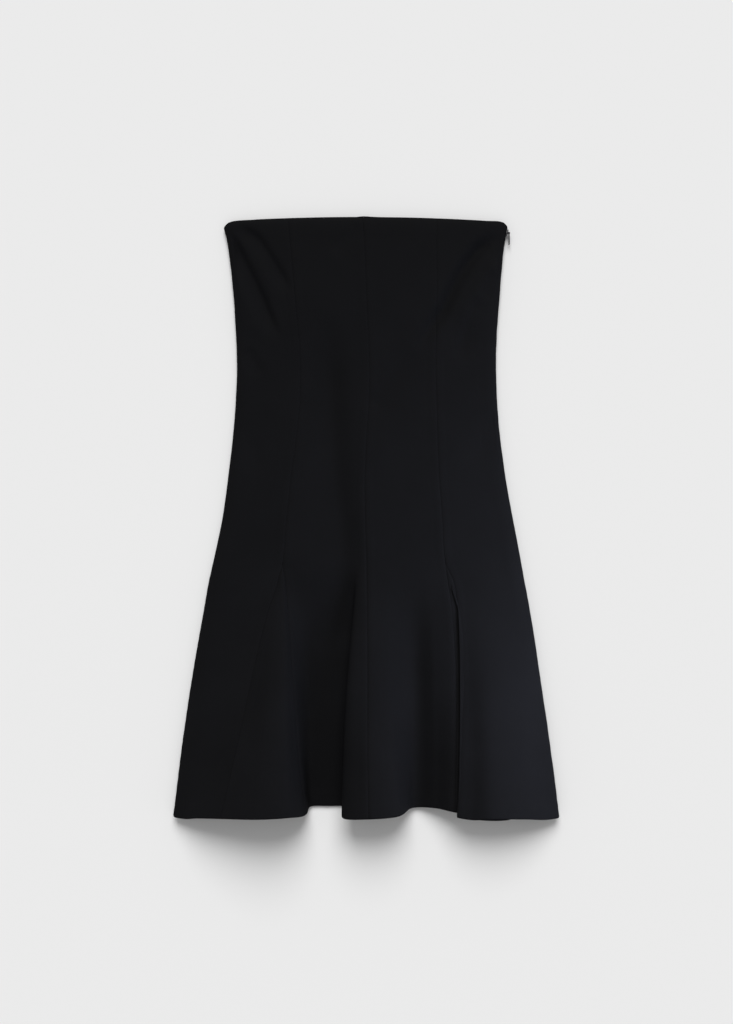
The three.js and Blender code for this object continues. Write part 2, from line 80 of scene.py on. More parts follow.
# Sections of the bodice and hip: distance below the neckline, then x of the outline and
# seams, the height of the crown over the middle and the radius of the rolled side edges.
BODICE_COLUMNS = ("down", "leftEdge", "leftSeam", "centre", "rightSeam", "rightEdge", "crown", "roll")
BODICE = [
    (0, -187, -104, -6, 93, 186.7, 13, 4.8),
    (13, -190, -103, -5, 92.5, 186.7, 15, 4.8),
    (29, -186, -102, -3.5, 92, 183.7, 16, 4.8),
    (56, -182, -99.5, -2.3, 92, 180.2, 17, 4.8),
    (109, -176.5, -95, -0.5, 92.5, 175.7, 17, 4.8),
    (162, -173.5, -90, 2, 91.5, 172.2, 15, 4.8),
    (202, -172.5, -88, 3.4, 91, 171.7, 14, 4.8),
    (242, -174, -89, 2.5, 92, 172.7, 14, 4.8),
    (295, -178, -94, -0.8, 93.5, 177.2, 15, 5),
    (348, -184.5, -101, -3, 95.5, 184.7, 16, 5.2),
    (402, -192.5, -106.5, -2.3, 99.5, 194.2, 17, 5.5),
]

# Sections of the skirt. Each godet opens between an outer and an inner seam.
SKIRT_COLUMNS = ("down", "leftEdge", "leftSeam", "leftInner", "centre", "rightInner", "rightSeam",
                 "rightEdge", "crown", "roll")
SKIRT = [
    (455, -203.5, -111, -111, -0.7, 103, 103, 204.2, 18, 6),
    (485, -210, -118, -107.5, -0.3, 107, 115, 209.7, 18, 6.4),
    (525, -217, -131, -103.5, 0.2, 112.5, 119.5, 216.7, 18, 7),
    (600, -230, -149, -97.7, 0.6, 117, 121.5, 228.2, 18, 8.2),
    (700, -245, -170, -90.5, 0.7, 117.5, 120.5, 242.7, 18, 9.6),
    (795, -256.4, -191.5, -79, 2, 115, 117, 254.7, 18, 10.5),
]

# Places on the folds of the skirt: x at the godets' apex, half way down and at the hem, the
# height at the hem, the share of the skirt in which it is reached, and the edges or seams
# between which the place lies in the bodice.
FOLDS = {
    "leftSlope": (-160, -190, -222, 37, 1, "leftEdge", "leftSeam"),
    "valleyOneLeft": (-80, -78.5, -74, 4.5, 0.4, "leftSeam", "centre"),
    "valleyOneMiddle": (-50, -50, -52, 4.2, 0.35, "leftSeam", "centre"),
    "valleyOneRight": (-17, -21, -28, 5, 0.35, "leftSeam", "centre"),
    "middleFold": (-9, -26.2, -31.8, 43, 1, "leftSeam", "centre"),
    "middleShoulder": (20, 24, 41, 48, 1, "centre", "rightSeam"),
    "valleyTwoLeft": (58, 64, 62.5, 7.5, 0.5, "centre", "rightSeam"),
    "valleyTwoMiddle": (82, 90, 90, 18, 0.8, "centre", "rightSeam"),
    "rightShoulder": (120, 135, 137, 45, 1, "rightSeam", "rightEdge"),
    "rightPeak": (142, 156, 161, 52, 1, "rightSeam", "rightEdge"),
    "rightSlope": (172, 195, 209, 40, 1, "rightSeam", "rightEdge"),
}

# Heights of the seams at the hem, and the share of the skirt in which they are reached
SEAM_HEIGHTS = {
    "leftSeam": (52, 1),
    "leftInner": (25, 0.5),
    "centre": (58, 1),
    "rightInner": (33, 1),
    "rightSeam": (39, 1),
}

# The left godet's crests: share of its width, and height above a line between its seams
LEFT_LOBE = {"leftPeak": (0.475, 29), "leftShoulder": (0.81, 30)}
BULGE_GROWTH = 1.3
FOLD_GROWTH = 1.15          # the folds rise slowly from the apex at first

# The right godet is tucked under the right lobe, like an inverted pleat.
TUCK_START = 0.1            # share of the skirt in which it is still flat
TUCK_DEPTH = 69             # how far it reaches under the lobe at the hem
TUCK_GAP = 4.4              # between its two layers
TUCK_FLOOR = 4.5            # height of its lower layer at the hem
TUCK_BEND = 0.6             # share of the depth at which both layers have a place
TUCK_RISE = 0.3             # share of the climb that the upper layer has made there

# How far the left side seam has slid under the edge, at the godets' apex and at the hem
WRAP_START = 1.5
WRAP_HEM = 60
WRAP_GROWTH = 1.3
BACK_HEM = (150, -120)      # x of the back's two middle places at the hem

# Where the hem ends at each place on the section, below the neckline
HEM = {
    "leftUnder": 781, "leftBottom": 789, "leftEdge": 793, "leftRoll": 794, "leftSlope": 790,
    "leftSeam": 787.5, "leftPeak": 785, "leftShoulder": 784.5, "leftInner": 788,
    "valleyOneLeft": 781, "valleyOneMiddle": 780.4, "valleyOneRight": 781, "middleFold": 788.6,
    "centre": 786.8, "middleShoulder": 785.3, "valleyTwoLeft": 782, "valleyTwoMiddle": 780.6,
    "rightInner": 783, "tuckLower": 792, "tuckTip": 797.6, "tuckUpper": 793, "rightSeam": 788.5,
    "rightShoulder": 790.5, "rightPeak": 788, "rightSlope": 790.7, "rightRoll": 795,
    "rightEdge": 794, "rightBottom": 789, "backRight": 778, "backLeft": 777, "backSeam": 781,
}

# Soft creases of the front: points (x, down) from the top of each, its depth, and its half
# widths on the picture's left and right of it. The steeper wall is the one that faces the hem.
CREASES = [
    (((-182, 18), (-172, 40), (-162, 61), (-150, 85), (-138, 110), (-127, 138), (-112, 170)), 5, 13, 6),
    (((-178, 9), (-160, 19), (-143, 31), (-132, 48), (-121, 65), (-110, 84), (-97, 105)), 4, 11, 6),
    (((188, 24), (161, 32), (147, 43), (136, 57), (127, 70), (115, 91), (101, 122), (82, 150), (56, 184)),
     8, 8, 9),
    (((148, 104), (139, 128), (129, 160), (118, 194)), 2.8, 8, 14),
    (((-160, 172), (-150, 192), (-140, 212)), 1.8, 12, 8),
    (((168, 70), (161, 92), (155, 112)), 1.6, 7, 10),
    (((66, 168), (30, 223), (2, 262)), 1.8, 14, 18),
    (((-6, 10), (-24, 28), (-50, 52)), 1.4, 10, 12),
    (((172, 250), (158, 288), (140, 330)), 1.1, 12, 18),
    (((-172, 262), (-156, 300), (-137, 345)), 1.0, 18, 12),
    (((-56, 110), (-52, 210), (-46, 320), (-34, 430), (-31, 500), (-34, 590)), 8, 40, 21),
]

# The rounded ridges beside the creases: points, height and half widths in the same way
RIDGES = [
    (((184, 52), (166, 70), (152, 92), (138, 122), (126, 165)), 4.4, 13, 32),
    (((-178, 70), (-168, 96), (-152, 130), (-140, 165)), 2.2, 20, 10),
    (((-150, 40), (-140, 66), (-128, 92), (-116, 122)), 1.2, 9, 9),
]
CREASE_FADE = 0.24          # share of a line's length in which it fades at each end

# The finish of the cloth's edges and seams
FACING = 23                 # the neckline's facing shows this deep
HEM_TURN = 19               # the hem is turned up by this much
ALLOWANCE = 9               # pressed-open allowances lie this far on each side of a seam
GROOVE = 0.26               # depth of the groove along a seam
GROOVE_WIDTH = 0.75
BAND = 0.26                 # how far the allowances under the cloth lift it
PUCKER = 0.16               # uneven tension of the seams' stitching
PUCKER_PITCH = 7
SLACK_PITCH = 23            # the slower waves beside a seam
INNER_BAND = 0.45           # thickness of allowances, facing and hem inside the dress
ROLLED = 0.5                # how far the cloth rounds off at its free edges
ROLLED_WIDTH = 0.8
NECK_ROLL = 1.3             # the neckline's edge bends down by this much
NECK_ROLL_WIDTH = 3.2

# Soft waves of the cloth's face: size across and along, height and seed. The last one is
# only beside the hem.
WAVES = [(46, 62, 0.3, 12), (17, 21, 0.1, 19)]
HEM_WAVE = (8, 30, 0.12, 23)
HEM_WAVE_FADE = (10, 40)


# One column of a table as a smooth function of the distance below the neckline
def track(rows, key):
    at = [row["down"] for row in rows]
    value = [row[key] for row in rows]
    last = len(rows) - 1
    slope = []
    for i in range(last + 1):
        a = max(i - 1, 0)
        b = min(i + 1, last)
        slope.append((value[b] - value[a]) / (at[b] - at[a]))

    def read(down):
        i = 0
        while i < last - 1 and down > at[i + 1]:
            i += 1
        span = at[i + 1] - at[i]
        s = min(max((down - at[i]) / span, 0), 1)
        return ((2 * s**3 - 3 * s**2 + 1) * value[i] + (s**3 - 2 * s**2 + s) * span * slope[i]
                + (3 * s**2 - 2 * s**3) * value[i + 1] + (s**3 - s**2) * span * slope[i + 1])
    return read


def outline_tracks():
    rows = []
    for values in BODICE:
        row = dict(zip(BODICE_COLUMNS, values))
        row["leftInner"] = row["leftSeam"]
        row["rightInner"] = row["rightSeam"]
        rows.append(row)
    rows += [dict(zip(SKIRT_COLUMNS, values)) for values in SKIRT]
    return {key: track(rows, key) for key in SKIRT_COLUMNS[1:]}


OUTLINE = outline_tracks()
HEM_DOWN = SKIRT[-1][0]


def mix(a, b, t):
    return a + (b - a) * t


def smooth(t):
    t = min(max(t, 0), 1)
    return t * t * (3 - 2 * t)


# The plain crown of the front over the back, away from the skirt's folds
def crown_height(x, down):
    edge = OUTLINE["leftEdge" if x < 0 else "rightEdge"](down)
    side = 2 * OUTLINE["roll"](down)
    share = min(abs(x / edge), 1)
    return side + (OUTLINE["crown"](down) - side) * (1 - share**CROWN_POWER)


def fold_height(apex_x, hem_z, settle, t):
    grown = smooth(t / settle) if settle < 1 else t**FOLD_GROWTH
    return mix(crown_height(apex_x, APEX_DOWN), hem_z, grown)


def through_three(a, b, c, t):
    return a * (1 - t) * (1 - 2 * t) + 4 * b * t * (1 - t) + c * t * (2 * t - 1)


# The neckline: a shallow dome with rounded corners
def neck_down(name, x):
    if name in ("leftEdge", "rightEdge"):
        return NECK_CORNER
    if name in ("leftRoll", "rightRoll"):
        return NECK_DOME + 1.8
    if name.endswith("Bottom") or name in ("leftUnder", "backSeam"):
        return NECK_CORNER - 2
    if name.startswith("back"):
        return BACK_NECK_DOWN
    point = 0 if name == "centre" else NECK_POINT
    return NECK_DOME * (x / 180) ** 2 + NECK_TILT * x + point


# Distance below the neckline at a stage: 0 at the neckline, 1 at the apex and 2 at the hem
def down_at(name, neck_x, stage):
    if stage <= 1:
        return mix(neck_down(name, neck_x), APEX_DOWN, stage)
    return mix(APEX_DOWN, HEM[name], stage - 1)


def seam_place(name, stage):
    down = down_at(name, OUTLINE[name](0), stage)
    x = OUTLINE[name](down)
    if stage <= 1:
        return name, x, down, crown_height(x, down)
    hem_z, settle = SEAM_HEIGHTS[name]
    return name, x, down, fold_height(OUTLINE[name](APEX_DOWN), hem_z, settle, stage - 1)


def fold_place(name, stage):
    apex_x, mid_x, hem_x, hem_z, settle, start, end = FOLDS[name]
    share = (apex_x - OUTLINE[start](APEX_DOWN)) / (OUTLINE[end](APEX_DOWN) - OUTLINE[start](APEX_DOWN))
    down = down_at(name, mix(OUTLINE[start](0), OUTLINE[end](0), share), stage)
    if stage <= 1:
        x = mix(OUTLINE[start](down), OUTLINE[end](down), share)
        return name, x, down, crown_height(x, down)
    t = stage - 1
    return name, through_three(apex_x, mid_x, hem_x, t), down, fold_height(apex_x, hem_z, settle, t)


# The rolled side edges: bottom, outermost line and top of the roll
def roll_places(side, stage):
    word = "left" if side < 0 else "right"
    places = []
    for part, inwards, up in (("Bottom", 1.25, 0), ("Edge", 0, 1), ("Roll", 1.45, 2)):
        down = down_at(word + part, 0, stage)
        r = OUTLINE["roll"](down)
        places.append((word + part, OUTLINE[word + "Edge"](down) - side * inwards * r, down, up * r))
    return places


def left_godet(stage):
    outer = seam_place("leftSeam", stage)
    inner = seam_place("leftInner", stage)
    crests = []
    for name, (share, bulge) in LEFT_LOBE.items():
        z = mix(outer[3], inner[3], share) + bulge * (stage - 1) ** BULGE_GROWTH
        crests.append((name, mix(outer[1], inner[1], share), down_at(name, 0, stage), z))
    return [outer, *crests, inner]


def right_godet(stage):
    inner = seam_place("rightInner", stage)
    outer = seam_place("rightSeam", stage)
    t = stage - 1
    opened = min(max((t - TUCK_START) / (1 - TUCK_START), 0), 1)
    climb = outer[3] - inner[3]
    gap = min(TUCK_GAP, climb / 4)
    if t <= TUCK_START:
        shapes = [(mix(inner[1], outer[1], across), inner[3] + climb * up)
                  for across, up in ((0.3, 0.2), (0.5, 0.5), (0.75, 0.8))]
    else:
        depth = TUCK_DEPTH * opened
        low = mix(inner[3], TUCK_FLOOR, opened)
        shapes = [(inner[1] + depth * TUCK_BEND + 2, low),
                  (inner[1] + depth + 4, low + gap / 2),
                  (inner[1] + depth * TUCK_BEND + 3, inner[3] + gap + TUCK_RISE * (climb - gap))]
    names = ("tuckLower", "tuckTip", "tuckUpper")
    folds = [(name, x, down_at(name, 0, stage), z) for name, (x, z) in zip(names, shapes)]
    return [inner, *folds, outer]


def back_places(left_under, stage):
    flat = []
    for name, hem_x in zip(("backRight", "backLeft"), BACK_HEM):
        down = down_at(name, 0, stage)
        flat.append((name, hem_x * OUTLINE["rightEdge"](down) / OUTLINE["rightEdge"](HEM_DOWN), down, 0))
    return [*flat, ("backSeam", *left_under[1:])]


# The folds between the left princess seam, the centre, the right princess seam and the edge
LEFT_FOLDS = ("valleyOneLeft", "valleyOneMiddle", "valleyOneRight", "middleFold")
MIDDLE_FOLDS = ("middleShoulder", "valleyTwoLeft", "valleyTwoMiddle")
RIGHT_FOLDS = ("rightShoulder", "rightPeak", "rightSlope")


# The whole section at a stage, clockwise from the left side seam over the front and back
def section_places(stage):
    left_bottom, left_edge, left_roll = roll_places(-1, stage)
    right_bottom, right_edge, right_roll = roll_places(1, stage)
    wrap = mix(WRAP_START, WRAP_HEM, max(stage - 1, 0) ** WRAP_GROWTH)
    left_under = ("leftUnder", left_bottom[1] + wrap, down_at("leftUnder", 0, stage), 0)
    below = stage > 1
    return [
        left_under, left_bottom, left_edge, left_roll, fold_place("leftSlope", stage),
        *(left_godet(stage) if below else [seam_place("leftSeam", stage)]),
        *(fold_place(name, stage) for name in LEFT_FOLDS),
        seam_place("centre", stage),
        *(fold_place(name, stage) for name in MIDDLE_FOLDS),
        *(right_godet(stage) if below else [seam_place("rightSeam", stage)]),
        *(fold_place(name, stage) for name in RIGHT_FOLDS),
        right_roll, right_edge, right_bottom, *back_places(left_under, stage),
    ]


# A smooth curve through the places of one section, the centripetal curve of the solids
class Section:
    def __init__(self, stage):
        places = section_places(stage)
        self.names = [p[0] for p in places]
        knots = np.array([[p[1], -p[2], p[3]] for p in places])
        ends = [2 * knots[:1] - knots[1:2], knots, 2 * knots[-1:] - knots[-2:-1]]
        self.knots = np.concatenate(ends)
        self.front = (self.names.index("leftRoll"), self.names.index("rightRoll"))

    def points(self, position):
        """Outer points and outward normals at positions that count places from the first."""
        i = np.clip(np.floor(position).astype(int), 0, len(self.names) - 2)
        s = (position - i)[:, None]
        p0, p1, p2, p3 = (self.knots[i + k] for k in range(4))
        steps = (p1 - p0, p2 - p1, p3 - p2)
        d0, d1, d2 = (np.maximum(np.sqrt(np.linalg.norm(step, axis=1))[:, None], 1e-4) for step in steps)
        m1 = ((p1 - p0) / d0 - (p2 - p0) / (d0 + d1) + (p2 - p1) / d1) * d1
        m2 = ((p2 - p1) / d1 - (p3 - p1) / (d1 + d2) + (p3 - p2) / d2) * d1
        c2 = 3 * (p2 - p1) - 2 * m1 - m2
        c3 = m1 + m2 - 2 * (p2 - p1)
        point = p1 + m1 * s + c2 * s**2 + c3 * s**3
        along = m1 + 2 * c2 * s + 3 * c3 * s**2
        normal = np.stack([-along[:, 2], np.zeros(len(s)), along[:, 0]], axis=1)
        normal /= np.maximum(np.linalg.norm(normal, axis=1, keepdims=True), 1e-9)
        on_front = (position >= self.front[0]) & (position <= self.front[1])
        point[:, 2] = np.maximum(point[:, 2], np.where(on_front, FRONT_LOWEST, 0))
        return point, normal, on_front


def ramp(d, start, end):
    t = np.clip((d - start) / (end - start), 0, 1)
    return t * t * (3 - 2 * t)


# How deep soft troughs along some lines are at points of the front
def trough_depth(lines, x, down):
    depth = np.zeros(x.shape)
    for line, deep, left_width, right_width in lines:
        parts = len(line) - 1
        nearest = np.full(x.shape, np.inf)
        dip = np.zeros(x.shape)
        for i in range(parts):
            (ax, ay), (bx, by) = line[i], line[i + 1]
            length2 = (bx - ax) ** 2 + (by - ay) ** 2
            s = np.clip(((x - ax) * (bx - ax) + (down - ay) * (by - ay)) / length2, 0, 1)
            away = np.hypot(x - ax - s * (bx - ax), down - ay - s * (by - ay))
            on_left = (bx - ax) * (down - ay) > (by - ay) * (x - ax)
            width = np.where(on_left, left_width, right_width)
            along = (i + s) / parts
            fade = ramp(np.minimum(along, 1 - along), 0, CREASE_FADE)
            dip = np.where(away < nearest, deep * fade * np.exp(-((away / width) ** 2)), dip)
            nearest = np.minimum(nearest, away)
        depth = np.maximum(depth, dip)
    return depth


def crease_depth(x, down):
    return trough_depth(CREASES, x, down) - trough_depth(RIDGES, x, down)


# Rows of stages, finer beside the neckline and the hem
def stages(start, end, length, fine_start, fine_end):
    fine = np.array([0, 0.35, 0.9, 1.8, 3.2])
    head = fine if fine_start else fine[:1]
    tail = fine if fine_end else fine[:1]
    count = max(int((length - head[-1] - tail[-1]) / ROW_PITCH), 2)
    middle = np.linspace(head[-1], length - tail[-1], count + 1)
    downs = np.concatenate([head[:-1], middle, length - tail[-2::-1]])
    return start + (end - start) * downs / length


BODICE_STAGES = stages(0, 1, APEX_DOWN, True, False)
BELOW_APEX = stages(1 + GODET_TIP, 2, SKIRT_LENGTH, False, True)
WHOLE = np.concatenate([BODICE_STAGES, BELOW_APEX])

EDGE_STEPS = np.array([0, 0.3, 0.8, 1.6, 3, 5])
ARC_SAMPLES = 14
NARROW = 24                 # a panel narrower than this has its edge columns closer together


# One row of a panel: points at even distances along the cloth, closer beside its seams
def panel_row(section, first, last, count):
    a = section.names.index(first)
    b = section.names.index(last)
    position = np.linspace(a, b, (b - a) * ARC_SAMPLES + 1)
    point, _, _ = section.points(position)
    step = np.linalg.norm(np.diff(point[:, [0, 2]], axis=0), axis=1)
    arc = np.concatenate([[0], np.cumsum(step)])
    length = arc[-1]
    edge = EDGE_STEPS * min(1, length / NARROW)
    middle = np.linspace(edge[-1], length - edge[-1], count)
    target = np.concatenate([edge[:-1], middle, length - edge[-2::-1]])
    return *section.points(np.interp(target, arc, position)), target, length


def value_noise(x, y, seed):
    """Smooth noise from -1 to 1 at a grid of one cell per unit, the same on every run."""
    xi = np.floor(x).astype(np.int64)
    yi = np.floor(y).astype(np.int64)
    xf = x - xi
    yf = y - yi
    xf = xf * xf * (3 - 2 * xf)
    yf = yf * yf * (3 - 2 * yf)

    def corner(i, j):
        mixed = (i * 374761393 + j * 668265263 + seed * 974711) & 0x7FFFFFFF
        mixed = ((mixed ^ (mixed >> 13)) * 1274126177) & 0x7FFFFFFF
        return (mixed ^ (mixed >> 16)) / 0x3FFFFFFF - 1

    top = corner(xi, yi) * (1 - xf) + corner(xi + 1, yi) * xf
    low = corner(xi, yi + 1) * (1 - xf) + corner(xi + 1, yi + 1) * xf
    return top * (1 - yf) + low * yf


# How far the face stands out beside a seam, at a distance from it
def seam_relief(away, down, seed):
    band = BAND * ramp(away, 0.3, 2.4) * (1 - ramp(away, ALLOWANCE - 2.5, ALLOWANCE + 2.5))
    line = np.full(down.shape, float(seed))
    pull = PUCKER * value_noise(down / PUCKER_PITCH, line, seed) * (1 - ramp(away, 2, 16))
    slack = PUCKER * value_noise(down / SLACK_PITCH, line, seed + 5) * (1 - ramp(away, 8, 30))
    return band + pull + slack - GROOVE * np.exp(-((away / GROOVE_WIDTH) ** 2))


# How far the cloth's face stands out of its plain form: seams, facing, hem and soft waves
def relief(arc, length, down, from_top, from_hem, x, seams):
    out = seam_relief(arc, down, seams[0]) + seam_relief(length - arc, down, seams[1])
    out += BAND * (1 - ramp(from_top, FACING - 2, FACING + 5))
    out += BAND * (1 - ramp(from_hem, HEM_TURN - 1.5, HEM_TURN + 2.5))
    out -= 0.5 * BAND * np.exp(-(((from_hem - HEM_TURN) / 1.3) ** 2))
    for across, along, height, seed in WAVES:
        out += height * value_noise(x / across, down / along, seed)
    across, along, height, seed = HEM_WAVE
    out += height * value_noise(x / across, down / along, seed) * (1 - ramp(from_hem, *HEM_WAVE_FADE))
    free_edge = np.exp(-(from_top / ROLLED_WIDTH) ** 2) + np.exp(-(from_hem / ROLLED_WIDTH) ** 2)
    return out - ROLLED * free_edge


# How much thicker the cloth is inside: seam allowances, facing and turned-up hem
def inner_band(arc, length, from_top, from_hem):
    side = np.minimum(arc, length - arc)
    cover = np.maximum.reduce([
        1 - ramp(side, ALLOWANCE, ALLOWANCE + 0.8),
        1 - ramp(from_top, FACING + 14, FACING + 15),
        1 - ramp(from_hem, HEM_TURN, HEM_TURN + 0.8),
    ])
    return INNER_BAND * cover


# A closed wall from outer and inner grids, with a rounded rim of its own all round
def wall_mesh(name, outer, inner, uv, has_neckline):
    rows, columns = outer.shape[:2]
    middle = (outer + inner) / 2
    middle[0, :, 1] += ROLLED if has_neckline else 0
    middle[-1, :, 1] -= ROLLED
    grid = [(r, c) for r in range(rows) for c in range(columns)]
    rim = [(r, c) for r, c in grid if r in (0, rows - 1) or c in (0, columns - 1)]
    rim_index = {rc: 2 * len(grid) + i for i, rc in enumerate(rim)}
    rim_points = np.array([middle[rc] for rc in rim])
    vertices = np.concatenate([outer.reshape(-1, 3), inner.reshape(-1, 3), rim_points])

    def out(r, c):
        return r * columns + c

    def inn(r, c):
        return rows * columns + r * columns + c

    faces = []
    for r in range(rows - 1):
        for c in range(columns - 1):
            faces.append((out(r, c), out(r + 1, c), out(r + 1, c + 1), out(r, c + 1)))
            faces.append((inn(r, c), inn(r, c + 1), inn(r + 1, c + 1), inn(r + 1, c)))

    def edge_faces(a, b):
        """The rim between two neighbours, from a to b against the way that the faces run."""
        ma = rim_index[a]
        mb = rim_index[b]
        faces.append((out(*b), out(*a), ma, mb))
        faces.append((mb, ma, inn(*a), inn(*b)))

    for r in range(rows - 1):
        edge_faces((r, 0), (r + 1, 0))
        edge_faces((r + 1, columns - 1), (r, columns - 1))
    for c in range(columns - 1):
        edge_faces((0, c + 1), (0, c))
        edge_faces((rows - 1, c), (rows - 1, c + 1))

    mesh = bpy.data.meshes.new(name)
    mesh.from_pydata((vertices * MM).tolist(), [], faces)
    flat_uv = np.concatenate([uv.reshape(-1, 2), uv.reshape(-1, 2), np.array([uv[rc] for rc in rim])]) * MM
    layer = mesh.uv_layers.new(name="cloth")
    corner_vertex = np.empty(len(mesh.loops), dtype=np.int32)
    mesh.loops.foreach_get("vertex_index", corner_vertex)
    layer.data.foreach_set("uv", flat_uv[corner_vertex].ravel())
    mesh.polygons.foreach_set("use_smooth", [True] * len(mesh.polygons))
    mesh.update()
    return mesh


# Panels: stages, the places of the first and last seam above and below the apex, and a
# number for each seam, which its two panels share
PANELS = {
    "front_side_left": (WHOLE, ("leftUnder", "leftUnder"), ("leftSeam", "leftSeam"), (1, 2)),
    "front_centre_left": (WHOLE, ("leftSeam", "leftInner"), ("centre", "centre"), (2, 3)),
    "front_centre_right": (WHOLE, ("centre", "centre"), ("rightSeam", "rightInner"), (3, 4)),
    "front_side_right": (WHOLE, ("rightSeam", "rightSeam"), ("rightEdge", "rightEdge"), (4, 5)),
    "godet_left": (BELOW_APEX, ("leftSeam", "leftSeam"), ("leftInner", "leftInner"), (2, 2)),
    "godet_right": (BELOW_APEX, ("rightInner", "rightInner"), ("rightSeam", "rightSeam"), (4, 4)),
    "back": (WHOLE, ("rightEdge", "rightEdge"), ("backSeam", "backSeam"), (5, 1)),
}

SECTIONS = {float(stage): Section(stage) for stage in WHOLE}


# The rows of one panel, each with its points, normals and distances along the cloth
def panel_rows(name):
    stages_used, first, last, _ = PANELS[name]
    ends = [(SECTIONS[float(s)], first[int(s > 1)], last[int(s > 1)]) for s in stages_used]
    widest = max(panel_row(*end, 2)[4] for end in (ends[0], ends[-1]))
    pitch = BACK_PITCH if name == "back" else COLUMN_PITCH
    count = max(int((widest - 2 * EDGE_STEPS[-1]) / pitch), 4)
    return [panel_row(*end, count) for end in ends]


def new_piece(name, mesh):
    piece = bpy.data.objects.new(name, mesh)
    bpy.context.scene.collection.objects.link(piece)
    return piece


def cloth_panel(name):
    """The panel's closed wall, and the line on its inner face that its hem stitches follow."""
    rows = panel_rows(name)
    seams = PANELS[name][3]
    whole = PANELS[name][0] is WHOLE
    tops = -rows[0][0][:, 1] if whole else np.full(len(rows[0][0]), -APEX_DOWN)
    hems = -rows[-1][0][:, 1]
    faces_out = []
    faces_in = []
    uv = []
    for point, normal, on_front, arc, length in rows:
        down = -point[:, 1]
        out = relief(arc, length, down, down - tops, hems - down, point[:, 0], seams)
        inward = CLOTH + inner_band(arc, length, down - tops, hems - down)
        bend = NECK_ROLL * np.exp(-(((down - tops) / NECK_ROLL_WIDTH) ** 2)) if whole else 0
        dip = np.where(on_front, crease_depth(point[:, 0], down) + bend, 0)
        face = point + normal * out[:, None]
        lining_side = point - normal * inward[:, None]
        for grid, places in ((faces_out, face), (faces_in, lining_side)):
            places[:, 2] = np.maximum(places[:, 2] - dip, 0)
            grid.append(places)
        uv.append(np.stack([arc, down], axis=1))
    outer_grid = np.array(faces_out)
    inner_grid = np.array(faces_in)
    stitched = int(np.argmin([abs(np.mean(hems + row[0][:, 1]) - STITCH_UP) for row in rows]))
    for grid in (outer_grid, inner_grid):
        grid[:, :, 0] += FOOTPRINT_CENTRE[0]
        grid[:, :, 1] += FOOTPRINT_CENTRE[1]
    mesh = wall_mesh("cloth_" + name, outer_grid, inner_grid, np.array(uv), whole)
    return new_piece("cloth_" + name, mesh), inner_grid[stitched, 2:-2]


# A piece that holds only a line, in millimetres, for a tree to follow
def line_piece(name, points):
    mesh = bpy.data.meshes.new(name)
    places = (np.asarray(points) * MM).tolist()
    mesh.from_pydata(places, [(i, i + 1) for i in range(len(places) - 1)], [])
    return new_piece(name, mesh)


# A Geometry Nodes tree with named sizes, in metres, and a line as its first input
def new_tree(name, sizes):
    tree = bpy.data.node_groups.new(name, "GeometryNodeTree")
    tree.interface.new_socket("Line", in_out="INPUT", socket_type="NodeSocketGeometry")
    for label, value in sizes.items():
        socket = tree.interface.new_socket(label, in_out="INPUT", socket_type="NodeSocketFloat")
        socket.default_value = value * MM
    tree.interface.new_socket("Geometry", in_out="OUTPUT", socket_type="NodeSocketGeometry")
    start = tree.nodes.new("NodeGroupInput")
    curve = tree.nodes.new("GeometryNodeMeshToCurve")
    tree.links.new(start.outputs["Line"], curve.inputs["Mesh"])
    return tree, start, curve.outputs["Curve"]


# Ends a tree: nothing is left as an instance, and the whole has one finish
def end_tree(tree, geometry, finish):
    real = tree.nodes.new("GeometryNodeRealizeInstances")
    smooth_shade = tree.nodes.new("GeometryNodeSetShadeSmooth")
    painted = tree.nodes.new("GeometryNodeSetMaterial")
    painted.name = "finish"
    painted.inputs["Material"].default_value = finish
    end = tree.nodes.new("NodeGroupOutput")
    tree.links.new(geometry, real.inputs["Geometry"])
    tree.links.new(real.outputs["Geometry"], smooth_shade.inputs["Geometry"])
    tree.links.new(smooth_shade.outputs["Geometry"], painted.inputs["Geometry"])
    tree.links.new(painted.outputs["Geometry"], end.inputs["Geometry"])
    return tree


# A value put into the parts of a vector
def vector_of(tree, x, y, z):
    made = tree.nodes.new("ShaderNodeCombineXYZ")
    for socket, value in zip(made.inputs, (x, y, z)):
        if isinstance(value, (int, float)):
            socket.default_value = value
        else:
            tree.links.new(value, socket)
    return made.outputs["Vector"]


# The same small shape set along the line at an even pitch, each turned a little at random
def set_along(tree, start, curve, shape, seed, turn):
    points = tree.nodes.new("GeometryNodeCurveToPoints")
    points.mode = "LENGTH"
    tree.links.new(curve, points.inputs["Curve"])
    tree.links.new(start.outputs["Pitch"], points.inputs["Length"])
    placed = tree.nodes.new("GeometryNodeInstanceOnPoints")
    tree.links.new(points.outputs["Points"], placed.inputs["Points"])
    tree.links.new(points.outputs["Rotation"], placed.inputs["Rotation"])
    tree.links.new(shape, placed.inputs["Instance"])
    chance = tree.nodes.new("FunctionNodeRandomValue")
    chance.data_type = "FLOAT_VECTOR"
    chance.inputs["Min"].default_value = (-turn, -turn, -turn)
    chance.inputs["Max"].default_value = (turn, turn, turn)
    chance.inputs["Seed"].default_value = seed
    turned = tree.nodes.new("GeometryNodeRotateInstances")
    tree.links.new(placed.outputs["Instances"], turned.inputs["Instances"])
    tree.links.new(chance.outputs["Value"], turned.inputs["Rotation"])
    return turned.outputs["Instances"]


